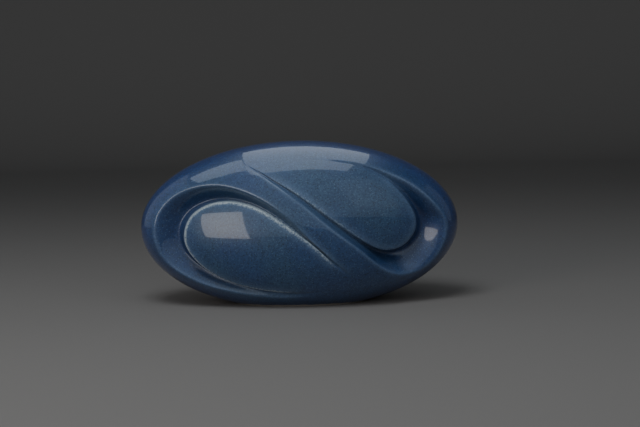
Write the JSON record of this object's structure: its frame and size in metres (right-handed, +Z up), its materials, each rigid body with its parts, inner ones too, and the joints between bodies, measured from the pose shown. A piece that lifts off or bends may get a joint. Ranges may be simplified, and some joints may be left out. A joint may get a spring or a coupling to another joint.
{
  "type": "funeral urn",
  "caption": "Oval glazed ceramic funeral urn lying on its long side, with swirling grooves and an S-shaped band carved in its front, closed by a stopper beneath.",
  "frame": {"origin": "on the ground under the middle of the oval, at the bottom centre of the object's box", "axes": "+X along the length, to the right seen from the carved front; +Y from the carved front towards the plain back; +Z up"},
  "size_m": [0.32, 0.1458, 0.1635],
  "materials": {
    "urn_glaze": "glossy blue glaze, speckled, deeper cobalt over edges and pale where it breaks on a sharp rim",
    "stopper_rubber": "matt moulded rubber"
  },
  "bodies": {
    "root": {"urn_body": "urn_glaze", "stopper": "stopper_rubber"}
  },
  "joints": []
}
